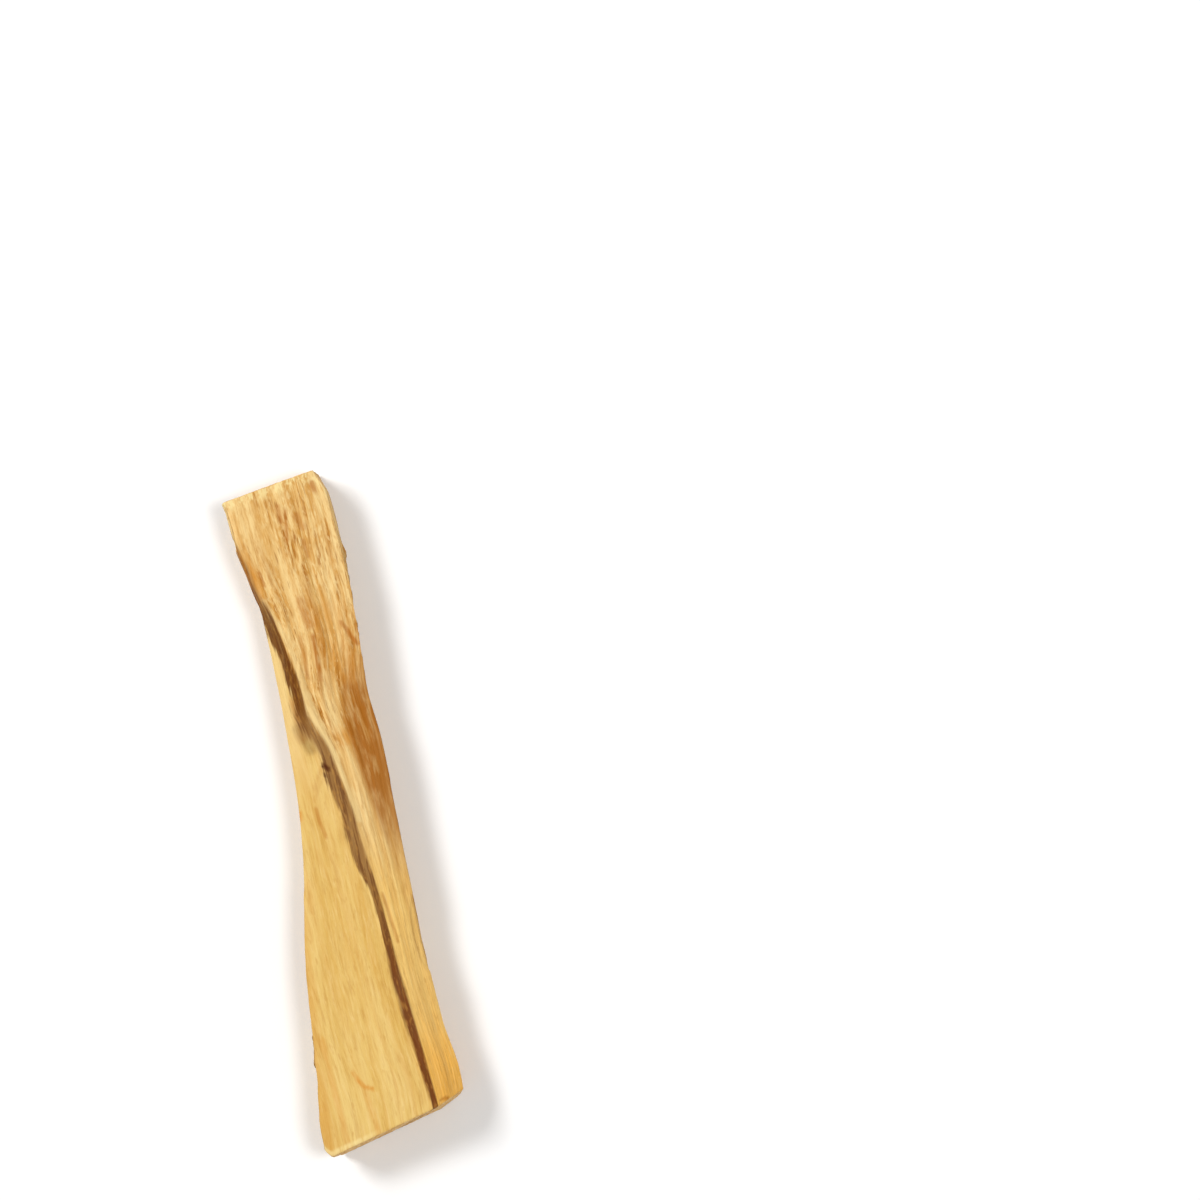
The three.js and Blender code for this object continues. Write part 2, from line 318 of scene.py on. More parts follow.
def cut_shift(along, across, height):
    """How far the saw cuts move a point along the stick."""
    def skew(cut):
        return cut["slant"] * across + cut["lean"] * (height - CUT_MIDDLE)

    broken = BROKEN_CORNER["beyond"] - across + BROKEN_CORNER["fade"] * (height - BROKEN_CORNER["top"])
    narrow = skew(NARROW_CUT) + np.maximum(broken, 0) * BROKEN_CORNER["slant"]
    wide = (
        skew(WIDE_CUT)
        - np.maximum(CUT_BACK["beyond"] - across, 0) * CUT_BACK["slant"]
        - np.maximum(across - WORN_LEFT["beyond"], 0) * WORN_LEFT["slant"]
    )
    return (
        narrow * (1 - np.clip((along - NARROW_CUT["along"]) / CUT_REACH, 0, 1))
        + wide * (1 - np.clip((WIDE_CUT["along"] - along) / CUT_REACH, 0, 1))
    )


def ledge_drop(face, share, along):
    drop = 0 * share * along
    for ledge in (each for each in LEDGES if each["face"] == face["name"]):
        across = ease(ledge["share"] - LEDGE_SLOPE, ledge["share"] + LEDGE_SLOPE, share)
        start = ease(ledge["from"], ledge["from"] + LEDGE_TAPER, along)
        end = 1 - ease(ledge["to"] - LEDGE_TAPER, ledge["to"], along)
        drop = drop + ledge["drop"] * across * start * end * (1 - ease(LEDGE_CLOSES, 1, share))
    return drop


def chip_depth(along, across, height):
    depth = 0 * across
    for chip in CHIPS:
        length = (along - chip["at"][0]) / chip["half"][0]
        width = np.hypot(across - chip["at"][1], height - chip["at"][2]) / chip["half"][1]
        depth = depth + chip["depth"] * np.sqrt(np.maximum(1 - length**2 - width**2, 0))
    return depth


def coarse_rings(along):
    """Rings with the frame's form, (ring, column, [across, height]), and how torn the wood is there."""
    corners = corners_at(along)
    rings, torn = [], []
    for f, face in enumerate(FACES):
        start, end = corners[:, f, None], corners[:, (f + 1) % len(FACES), None]
        share = (np.arange(face["columns"]) / face["columns"])[None, :]
        points = mix(start, end, share[..., None])
        run = end - start
        normal = np.stack([run[..., 1], -run[..., 0]], -1) / np.linalg.norm(run, axis=-1)[..., None]
        places = along[:, None] + 0 * share
        hill = hills(share * face["width"] / RIDGE_SPACING + FACE_OFFSET * f, places / RIDGE_LENGTH)
        if face["name"] == "flat":
            hill = np.minimum(hill + UNDERSIDE_FLAT, 0)
        inward = ledge_drop(face, share, places) - face["ridges"] * hill
        inward = inward + chip_depth(places, points[..., 0], points[..., 1])
        rings.append(points - normal * inward[..., None])
        calm = ease(*CALMS, along)[:, None] + 0 * share
        strength = mix(*face["torn"], calm)
        if face["name"] in SPLIT_SIDES:
            below = np.maximum(start, end)[..., 1] - points[..., 1]
            strength = strength * mix(EDGE_TORN, 1, ease(0, EDGE_REACH, below))
        torn.append(strength)
    return np.concatenate(rings, 1), np.concatenate(torn, 1)


def rounded(rings):
    """The corners of the section rounded a little, by averaging each column with its neighbours."""
    for _ in range(ROUNDING):
        rings = (np.roll(rings, 1, 1) + 2 * rings + np.roll(rings, -1, 1)) / 4
    return rings


def grid_normals(points):
    """Outward unit normals of a grid of points (ring, column, 3) that closes round its columns."""
    around = np.roll(points, -1, 1) - np.roll(points, 1, 1)
    lengthwise = np.gradient(points, axis=0)
    normal = np.cross(lengthwise, around)
    return normal / np.linalg.norm(normal, axis=-1)[..., None]


def relief(fibres, torn):
    """The fine relief in millimetres: torn steps, grain ridges, furrows and single fibres, and cracks."""
    wander = WANDER * fibre_noise(fibres, "wander")
    bent = fibres + np.stack([wander, wander, 0 * wander], -1)
    steps = STEP_COUNT * fibre_noise(bent, "steps")
    level = np.floor(steps)
    terraces = level + ease(0.0, STEP_SIDE, steps - level)
    furrows = -np.abs(fibre_noise(bent, "furrows"))
    fine = (
        STEP_HEIGHT * terraces + RIDGE_HEIGHT * fibre_noise(bent, "ridges")
        + FURROW_DEPTH * furrows + THREAD_HEIGHT * fibre_noise(bent, "threads")
    )
    patches = EVEN_RELIEF + PATCH_RELIEF * ease(*PATCH_PART, fibre_noise(fibres, "patches"))
    cracks = -ease(CRACK_SIDE, 0.0, np.abs(fibre_noise(bent, "cracks")))
    cracks = cracks * ease(*CRACKED_PART, fibre_noise(fibres, "cracked")) * ease(*CRACKED_TORN, torn)
    return patches * torn * fine + CRACK_DEPTH * cracks


def stick_grid():
    """The fine surface: points (ring, column, 3) as along, across, height, its relief and how torn it is."""
    along = np.linspace(NARROW_CUT["along"], WIDE_CUT["along"], RINGS + 1)
    rings, torn = coarse_rings(along)
    rings, torn = rounded(rings), rounded(torn)
    places = along[:, None] + 0 * rings[..., 0]
    points = np.concatenate([places[..., None], rings], -1)
    depth = relief(fibre_places(places, rings[..., 0], rings[..., 1]), torn)
    under = ease(*UNDERSIDE_FADE, rings[..., 1])
    depth = mix(depth, np.minimum(depth, 0), under)
    # Rows keep their place along the stick, so that the sawn ends stay flat.
    normals = grid_normals(points)
    normals[..., 0] = 0
    points = points + normals * depth[..., None]
    points[..., 2] = np.maximum(points[..., 2], 0)
    return points, depth, torn


def saw_marks(across, height, seed):
    """How far the sawn face stands out, in millimetres, from the marks of the saw's teeth."""
    marked = np.stack([across + SAW_LEAN * height, 0 * height + seed, height * SAW_STRETCH], -1)
    grain = np.stack([across, height, 0 * height + seed], -1)
    out = 0
    for size, depth in SAW_MARKS:
        out = out + depth * noise(marked / size)
    return out + END_GRAIN[1] * noise(grain / END_GRAIN[0])


def end_rings(rim, cut):
    """The rings of a sawn end from its rim inwards, and its middle point."""
    shares = np.concatenate([[WEAR / END_REACH], np.linspace(0, 1, END_RINGS + 2)[1:-1]])[:, None]
    across = mix(rim[None, :, 1], 0, shares)
    height = mix(rim[None, :, 2], CUT_MIDDLE, shares)
    along = cut["along"] + cut["outward"] * saw_marks(across, height, cut["seed"])
    return np.stack([along, across, height], -1), np.array([cut["along"], 0, CUT_MIDDLE])


def stick_surface():
    """Vertices as along, across, height, the faces, and each vertex's relief, how torn it is, and if sawn."""
    grid, depth, torn = stick_grid()
    columns = grid.shape[1]
    narrow, narrow_middle = end_rings(grid[0], NARROW_CUT)
    wide, wide_middle = end_rings(grid[-1], WIDE_CUT)
    grid[0, :, 0] += WEAR
    grid[-1, :, 0] -= WEAR
    rings = np.concatenate([narrow[::-1], grid, wide])

    count = rings.shape[0] * columns
    first = np.arange(rings.shape[0] - 1)[:, None] * columns
    k = np.arange(columns)[None, :]
    after = (k + 1) % columns
    quads = np.stack([first + k, first + k + columns, first + after + columns, first + after], -1)
    start, end = np.arange(columns), count - columns + np.arange(columns)
    fans = [[count, b, a] for a, b in zip(np.roll(start, -1), start)]
    fans += [[count + 1, b, a] for a, b in zip(end, np.roll(end, -1))]
    vertices = np.concatenate([rings.reshape(-1, 3), [narrow_middle, wide_middle]])
    faces = quads.reshape(-1, 4).tolist() + [[int(v) for v in fan] for fan in fans]

    def with_ends(values, on_ends):
        ends = np.full(narrow.shape[:2], float(on_ends))
        return np.append(np.concatenate([ends, values, ends]).ravel(), [on_ends, on_ends])

    return vertices, faces, with_ends(depth, 0), with_ends(torn, 0), with_ends(0 * depth, 1)


def store(mesh, name, values):
    """Keeps one number or three for each vertex, for the material to read."""
    kind, key = ("FLOAT_VECTOR", "vector") if values.ndim == 2 else ("FLOAT", "value")
    made = mesh.attributes.new(name, kind, "POINT")
    made.data.foreach_set(key, values.astype(np.float32).ravel())


def make_stick(material):
    """Makes the stick and returns the middle of its own measures, which moves to the frame's origin."""
    vertices, faces, depth, torn, sawn = stick_surface()
    along, across, height = vertices.T
    placed = np.stack([-(along + cut_shift(along, across, height)), across, height], -1)
    middle = (placed.min(0) + placed.max(0)) / 2
    placed[:, :2] -= middle[:2]
    mesh = bpy.data.meshes.new(PIECE)
    mesh.from_pydata((placed * MM).tolist(), [], faces)
    store(mesh, "fibres", fibre_places(along, across, height))
    store(mesh, "place", vertices)
    store(mesh, "vein", vein_places(along, across, height))
    store(mesh, "relief", depth)
    store(mesh, "torn", torn)
    store(mesh, "sawn", sawn)
    for name, listed in MARKS.items():
        store(mesh, name, marks(vertices, listed))
    store(mesh, "stain_and_shadow", stain_and_shadow(vertices))
    mesh.materials.append(material)
    mesh.shade_smooth()
    mesh.validate()
    piece = bpy.data.objects.new(PIECE, mesh)
    bpy.context.collection.objects.link(piece)
    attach(piece, "root")
    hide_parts(NODE)
    return middle


# How much brighter than its own colour a matt surface facing up looks in this light, and what its gloss adds.
LIGHT = 1.04
GLOSS = 0.011


def seen(red, green, blue):
    """The wood's own colour, linear, that looks like this, 0 to 255, in the light of this scene."""
    def own(value):
        value = value / 255
        linear = value / 12.92 if value <= 0.04045 else ((value + 0.055) / 1.055) ** 2.4
        return max(linear - GLOSS, 0) / LIGHT

    return (own(red), own(green), own(blue), 1)


# The colours as they look in the light of this scene.
CREAM = seen(245, 214, 150)
GOLD = seen(226, 180, 108)
HONEY = seen(209, 150, 69)
STREAK = seen(168, 102, 28)
DASH = seen(160, 96, 34)
PALE = seen(234, 201, 125)
PALE_GOLD = seen(221, 180, 98)
LOW_GOLD = seen(252, 208, 121)
MARK = seen(88, 46, 22)
FLECK = seen(200, 150, 78)
# The pale rims: frayed wood on the narrow one, wear and a painted highlight on the wide one.
FRAYED_AND_HIGHLIGHT = seen(251, 230, 165)
END_PALE = seen(244, 206, 142)
END_DARK = seen(214, 162, 92)
# The orange of the wide end, partly the wood's own and partly painted warm light.
WIDE_END_ORANGE_AND_WARM_LIGHT = seen(253, 191, 89)
VEIN_DARK = seen(94, 48, 14)
VEIN_BROWN = seen(114, 68, 28)
VEIN_RED = seen(106, 51, 12)
VEIN_PURPLE = seen(147, 105, 59)
ORANGE = seen(214, 146, 62)
ORANGE_BROWN = seen(165, 100, 35)
RED_BROWN = seen(178, 102, 26)

# Marks on the upper faces: the way each runs as [along, across], its width, and how strong it is, in all or
# at each point of its way.
MARKS = {
    "knot": [
        {"path": [[43.0, 0.2], [43.6, -0.3]], "width": 0.8, "strength": 0.9},
        {"path": [[44.3, 0.35], [44.6, 0.3]], "width": 0.45, "strength": 0.6},
        {"path": [[36.8, 2.9], [38.6, 2.3], [40.1, 1.6]], "width": 1.8, "strength": 0.33},
    ],
    "dark": [
        {"path": [[43.4, 0.7], [46.2, 2.2]], "width": 0.7, "strength": 0.16},
        {"path": [[45.0, 0.9], [47.8, 2.6]], "width": 0.6, "strength": 0.13},
        {"path": [[33.0, 2.6], [38.0, 2.6]], "width": 2.2, "strength": 0.3},
        {"path": [[22.2, -6.3], [23.2, -6.9], [24.4, -7.3], [25.8, -8.1]], "width": 0.65, "strength": 0.5},
        {"path": [[49.0, 2.6], [51.2, 2.4], [53.4, 1.9]], "width": 0.6, "strength": 0.3},
        {"path": [[1.3, -5.9], [2.6, -6.1]], "width": 0.85, "strength": 0.5},
        {"path": [[9.0, -3.0], [11.6, -3.3]], "width": 0.5, "strength": 0.4},
        {"path": [[97.0, -7.6], [97.4, -8.5]], "width": 0.6, "strength": 0.5},
        {"path": [[12.2, 4.3], [14.6, 4.0]], "width": 0.45, "strength": 0.4},
        {"path": [[4.0, -1.3], [8.4, -0.7]], "width": 0.6, "strength": 0.4},
        {"path": [[5.2, -2.6], [7.2, -3.4]], "width": 1.1, "strength": 0.35},
        {"path": [[23.5, -1.9], [30.2, -1.8]], "width": 0.7, "strength": 0.5},
        {"path": [[18.0, -1.0], [21.7, -1.8]], "width": 1.6, "strength": 0.35},
        {"path": [[23.2, 0.1], [29.4, 0.1]], "width": 0.6, "strength": 0.35},
        {"path": [[3.0, -0.2], [5.5, -0.3]], "width": 0.8, "strength": 0.35},
        {"path": [[63.5, -4.8], [67.0, -5.2], [70.8, -5.7]], "width": 0.5, "strength": 0.3},
    ],
    "orange": [
        {"path": [[88.0, 4.5], [89.3, 4.0], [90.6, 3.2], [91.2, 2.1]], "width": 0.6, "strength": 0.85},
        {"path": [[82.8, 8.1], [97.5, 7.2]], "width": 1.0, "strength": 0.4},
        {"path": [[91.0, 3.2], [97.5, 2.4]], "width": 0.8, "strength": 0.35},
        {"path": [[49.2, 5.2], [50.2, 5.3]], "width": 0.8, "strength": 0.8},
        {"path": [[38.2, -3.0], [40.0, -3.6]], "width": 1.5, "strength": 0.6},
        {
            "path": [[5.5, 6.8], [9.4, 6.3], [12.5, 5.8], [16, 5.3]],
            "width": 2.4, "strength": [0, 0.4, 0.65, 0.65],
        },
        {"path": [[21, -5.0], [29, -5.4]], "width": 5.0, "strength": 0.35},
        {"path": [[60, 6.2], [72, 8.2], [84, 9.2], [97, 10.2]], "width": 1.8, "strength": 0.25},
    ],
    "light": [
        # The first light mark, along the crest of the ridge, is a painted highlight.
        {
            "path": [[17, 4.4], [21, 2.9], [26, 1.6], [34, 0.6], [42, -1.8], [52, -3.4]],
            "width": 0.8, "strength": 0.55,
        },
        {
            "path": [[20, 5.0], [27, 4.6], [33, 4.5], [39.5, 4.2], [47.5, 3.4]],
            "width": 2.4, "strength": [0.5, 0.5, 0.5, 0.5, 0],
        },
        {"path": [[30.0, -2.6], [37.7, -2.7]], "width": 2.2, "strength": 0.4},
    ],
}
# Where a mark's side begins and ends, as shares of its width.
MARK_SIDE = (0.75, 0.2)
# The marks are whole down to this depth below the ridge, and fade away over as much again as the second.
MARK_DEPTH = 2.4
MARK_FADE = 1.2
# The orange-brown patch along the right edge, partly a stain in the wood and partly painted shadow: [along,
# its left side, how strong].
STAIN_AND_SHADOW = [
    [-2, -8.6, 0], [21, -7.4, 0], [26, -6.4, 0.25], [30, -4.9, 0.65], [34, -4.2, 0.95], [38, -4.1, 1],
    [42, -4.6, 1], [45, -5.0, 1], [49, -5.7, 0.92], [53, -6.3, 0.78], [57, -6.8, 0.45], [66, -7.6, 0.2],
    [76, -8.3, 0.1], [86, -9, 0], [101, -10, 0],
]
STAIN_AND_SHADOW_SOFTNESS = 1.3
# How far down from the right edge it fades away.
STAIN_AND_SHADOW_FADE = (4.5, 0.5)


def marks(places, listed):
    """How strongly the listed marks colour each place (along, across, height), from 0 to 1."""
    along, across, height = places.T
    strongest = 0 * along
    for mark in listed:
        path = np.array(mark["path"])
        strengths = np.broadcast_to(mark["strength"], len(path))
        outer, inner = (mark["width"] * share for share in MARK_SIDE)
        for i, run in enumerate(path[1:] - path[:-1]):
            from_start = along - path[i, 0], across - path[i, 1]
            share = np.clip((from_start[0] * run[0] + from_start[1] * run[1]) / (run @ run), 0, 1)
            away = np.hypot(from_start[0] - share * run[0], from_start[1] - share * run[1])
            strength = mix(strengths[i], strengths[i + 1], share)
            strongest = np.maximum(strongest, strength * ease(outer, inner, away))
    depth = on_curve(RIDGE, along)[:, 1] - height
    return strongest * ease(MARK_DEPTH + MARK_FADE, MARK_DEPTH, depth)


def stain_and_shadow(places):
    """How strongly each place (along, across, height) is stained orange-brown and darkened by painted shadow,
    from 0 to 1.
    """
    along, across, height = places.T
    side, strength = on_curve(STAIN_AND_SHADOW, along).T
    inside = ease(side + STAIN_AND_SHADOW_SOFTNESS / 2, side - STAIN_AND_SHADOW_SOFTNESS / 2, across)
    fades_down = ease(*STAIN_AND_SHADOW_FADE, on_curve(RIGHT_EDGE, along)[:, 1] - height)
    return inside * np.clip(strength, 0, 1) * fades_down


# The noises of the colours: the places that each runs over, how wide and how long its patches are in
# millimetres, its detail, its place in the noise, and its roughness.
GRAIN = {
    "wobble": ("fibres", 5.0, 45.0, 2.0, 3.1, 0.5),
    "wander": ("fibres", 1.6, 7.0, 2.0, 21.0, 0.5),
    "tone": ("fibres", 2.6, 34.0, 3.0, 7.7, 0.5),
    "bands": ("rings", 1.0, 1.0, 3.0, 0.4, 0.65),
    "blotches": ("bent", 1.1, 9.0, 3.0, 17.0, 0.6),
    "streaks": ("bent", 0.46, 5.0, 4.0, 5.3, 0.68),
    "patches": ("fibres", 2.2, 14.0, 2.0, 12.6, 0.5),
    "dots": ("bent", 0.32, 1.5, 2.0, 27.0, 0.6),
    "lines": ("bent", 0.26, 30.0, 3.0, 23.0, 0.6),
    "pores": ("fibres", 0.2, 2.6, 1.0, 11.9, 0.4),
    "crowd": ("fibres", 1.7, 9.0, 2.0, 1.9, 0.5),
    "flecks": ("fibres", 0.5, 1.7, 1.0, 31.0, 0.5),
    "end bands": ("rings", 0.45, 1.0, 3.0, 2.6, 0.6),
    "pore ends": ("fibres", 0.16, 1.0, 1.0, 19.0, 0.5),
    "sweep": ("sawn face", 1.0, 1.0, 2.0, 5.0, 0.5),
    "uneven": ("fibres", 0.8, 3.6, 3.0, 8.8, 0.5),
    "feather": ("bent", 0.4, 7.0, 3.0, 6.1, 0.5),
    "vein tone": ("bent", 0.35, 8.0, 3.0, 2.7, 0.5),
    "specks": ("bent", 0.4, 1.6, 2.0, 41.0, 0.5),
    "frayed_and_highlit": ("fibres", 0.45, 1.2, 2.0, 13.0, 0.5),
    "threads": ("fibres", 0.12, 5.0, 3.0, 4.4, 0.6),
}
# How the place in the noise is shared out across the fibres, up and along them.
OFFSET_SHARES = (1.0, 0.7, 0.3)
# The heart of the tree, from where the fibres are measured, and how far its rings wobble and drift.
HEART = (38.0, 6.0, 0.0)
RING_WOBBLE = 4.0
RING_DRIFT = 0.014
# How far the streaks wander across the fibres, and how the marks of the saw are stretched over a sawn end.
STREAK_WANDER = (0.7, 0.7, 0.0)
SWEEP = (0.0, 3.2, 0.35)

# How the look changes from place to place: over which value or noise, from where to where on it, and from
# what to what. That is from 0 to 1 where it isn't given. along, across and height are in millimetres, and
# vein is 0 to 1 across the vein.
CHANGES = {
    # How streaked the wood is, and how torn.
    "right of vein": ("vein", 1.6, 0.0),
    "streaks weaken": ("along", 34.0, 46.0, 1.0, 0.24),
    "streaks weaken more": ("along", 58.0, 76.0, 1.0, 0.2),
    "narrow end": ("along", 18.0, 9.0),
    "left of narrow end": ("across", 0.0, 3.2, 0.0, 0.55),
    "on torn": ("torn", 0.6, 2.4),
    # The ground colours. The orange towards the wide end is partly the wood's own and partly painted warm
    # light.
    "gold": ("tone", 0.34, 0.66),
    "pale gold": ("tone", 0.3, 0.7),
    "low gold": ("along", 50.0, 66.0, 0.0, 0.88),
    "wide end orange and warm light": ("along", 76.0, 94.0, 0.0, 0.9),
    # The grain.
    "bands": ("bands", 0.42, 0.66),
    "bands where streaked": ("streaked", 0.0, 1.0, 0.2, 0.8),
    "blotches": ("blotches", 0.48, 0.66),
    "blotches where streaked": ("streaked", 0.0, 1.0, 0.16, 0.8),
    "dark streaks": ("streaks", 0.47, 0.66),
    "in patches": ("patches", 0.34, 0.58),
    "dark where streaked": ("streaked", 0.0, 1.0, 0.25, 0.95),
    "pale streaks": ("streaks", 0.48, 0.32),
    "pale where streaked": ("streaked", 0.0, 1.0, 0.25, 0.9),
    "dark dots": ("dots", 0.53, 0.72),
    "dark dots where streaked": ("streaked", 0.0, 1.0, 0.1, 0.6),
    "pale dots": ("dots", 0.46, 0.28),
    "pale dots where streaked": ("streaked", 0.0, 1.0, 0.1, 0.7),
    "dark lines": ("lines", 0.52, 0.68),
    "dark lines where torn": ("on torn", 0.0, 1.0, 0.12, 0.5),
    "pale lines": ("lines", 0.46, 0.34),
    "pale lines where torn": ("on torn", 0.0, 1.0, 0.12, 0.6),
    "pores": ("pores", 0.6, 0.72),
    "crowded": ("crowd", 0.42, 0.66),
    "pores where streaked": ("streaked", 0.0, 1.0, 0.1, 0.75),
    "flecks": ("flecks", 0.62, 0.78, 0.0, 0.4),
    # The sawn ends.
    "end bands": ("end bands", 0.35, 0.65),
    "pore ends": ("pore ends", 0.6, 0.74, 0.0, 0.45),
    "saw sweep": ("sweep", 0.45, 0.75, 0.0, 0.4),
    # How uneven the stain with its painted shadow, the marks and the knot are.
    "uneven stain_and_shadow": ("uneven", 0.3, 0.56, 0.6, 0.95),
    "uneven orange": ("uneven", 0.3, 0.6, 0.4, 1.0),
    "uneven dark": ("uneven", 0.25, 0.55, 0.6, 1.5),
    "uneven knot": ("uneven", 0.3, 0.6, 0.8, 1.25),
    # The vein's colours.
    "vein reddens": ("along", 60.0, 80.0),
    "purple begins": ("along", 33.0, 39.0),
    "purple ends": ("along", 73.0, 58.0),
    "purple high up": ("height", 7.0, 10.0),
    "vein turns orange": ("along", 20.0, 12.0, 0.0, 0.8),
    "vein tone": ("vein tone", 0.45, 0.62, 0.0, 0.75),
    "specks": ("specks", 0.5, 0.72, 0.0, 0.28),
    # The vein's sides and its depth.
    "feathered": ("along", 44.0, 52.0, 1.1, 0.7),
    "blur begins": ("along", 32.0, 37.0),
    "blur ends": ("along", 44.0, 39.0, 0.0, 0.22),
    "slight blur": ("along", 66.0, 74.0, 0.0, 0.1),
    "softness": ("along", 22.0, 14.0, 0.15, 0.32),
    "vein goes through": ("along", 50.0, 66.0),
    "vein far down": ("height", 0.0, 10.0, 0.35, 0.94),
    "vein high up": ("height", 4.5, 8.8, 0.0, 0.94),
    "vein on sawn ends": ("sawn", 0.0, 1.0, 1.0, 0.85),
    # The painted shade in the grooves of the relief and the painted highlight on its raised fibres.
    "painted shade in grooves": ("relief", -0.04, -0.3, 0.0, 0.5),
    "painted highlight on raised fibres": ("relief", 0.03, 0.25, 0.0, 0.35),
    # The frayed narrow rim, and the wide rim, pale from wear and a painted highlight.
    "narrow rim": ("along", NARROW_CUT["along"] + 2.4, NARROW_CUT["along"] + 0.6),
    "narrow rim frays": ("frayed_and_highlit", 0.42, 0.6),
    "painted highlight on wide rim": ("along", WIDE_CUT["along"] - 1.0, WIDE_CUT["along"] - 0.5),
    "left part of wide rim highlight": ("across", 1.0, 6.0),
    "wide rim highlight breaks up": ("frayed_and_highlit", 0.25, 0.6, 0.2, 0.75),
    "beside the cuts": ("sawn", 1.0, 0.0, 0.0, 0.7),
    "rims high up": ("height", 7.0, 8.8),
    # The bumps and the roughness.
    "streak bumps": ("streaked", 0.0, 1.0, 0.8, 2.4),
    "line bumps": ("on torn", 0.0, 1.0, 0.3, 2.2),
    "roughness": ("streaks", 0.3, 0.8, 0.58, 0.76),
}

# The colours of the grain, laid over the ground one after another, each where all its changes are strong.
LAYERS = [
    (HONEY, "bands", "bands where streaked"),
    (HONEY, "blotches", "blotches where streaked"),
    (STREAK, "dark streaks", "in patches", "dark where streaked"),
    (CREAM, "pale streaks", "pale where streaked"),
    (HONEY, "dark dots", "dark dots where streaked"),
    (CREAM, "pale dots", "pale dots where streaked"),
]
# How much of the honey colour the torn faces have all over.
TORN_HONEY = 0.22
# How far the vein's right side is feathered, as a share of its left side.
RIGHT_FEATHER = 0.45

PORE_BUMP = 0.8
SAW_BUMP = 1.5
BUMP_STRENGTH = 0.7
BUMP_HEIGHT = 0.00008
SPECULAR = 0.12


class Graph:
    """Adds nodes to one material. An input is a number, a colour or another node's output."""

    def __init__(self, material):
        material.use_nodes = True
        self.tree = material.node_tree
        self.tree.nodes.clear()

    def make(self, kind, inputs=None, **settings):
        node = self.tree.nodes.new(kind)
        for name, value in settings.items():
            setattr(node, name, value)
        for name, value in (inputs or {}).items():
            if isinstance(value, bpy.types.NodeSocket):
                self.tree.links.new(value, node.inputs[name])
            else:
                node.inputs[name].default_value = value
        return node

    def stored(self, name, output="Fac"):
        return self.make("ShaderNodeAttribute", attribute_name=name).outputs[output]

    def math(self, operation, a, b):
        return self.make("ShaderNodeMath", {0: a, 1: b}, operation=operation).outputs[0]

    def times(self, first, *others):
        for other in others:
            first = self.math("MULTIPLY", first, other)
        return first

    def plus(self, a, b):
        return self.math("ADD", a, b)

    def minus(self, a, b):
        return self.math("SUBTRACT", a, b)

    def vector(self, operation, *inputs, output="Vector"):
        node = self.make("ShaderNodeVectorMath", dict(enumerate(inputs)), operation=operation)
        return node.outputs[output]

    def join(self, x, y, z):
        return self.make("ShaderNodeCombineXYZ", {0: x, 1: y, 2: z}).outputs[0]

    def ease(self, value, low, high, to_low=0.0, to_high=1.0):
        return self.make(
            "ShaderNodeMapRange",
            {"Value": value, "From Min": low, "From Max": high, "To Min": to_low, "To Max": to_high},
            interpolation_type="SMOOTHSTEP",
        ).outputs["Result"]

    def mix(self, share, a, b):
        return self.make("ShaderNodeMix", {"Factor": share, 6: a, 7: b}, data_type="RGBA").outputs[2]

    def finish(self, inputs):
        shader = self.make("ShaderNodeBsdfPrincipled", inputs)
        output = self.make("ShaderNodeOutputMaterial")
        self.tree.links.new(shader.outputs[0], output.inputs["Surface"])


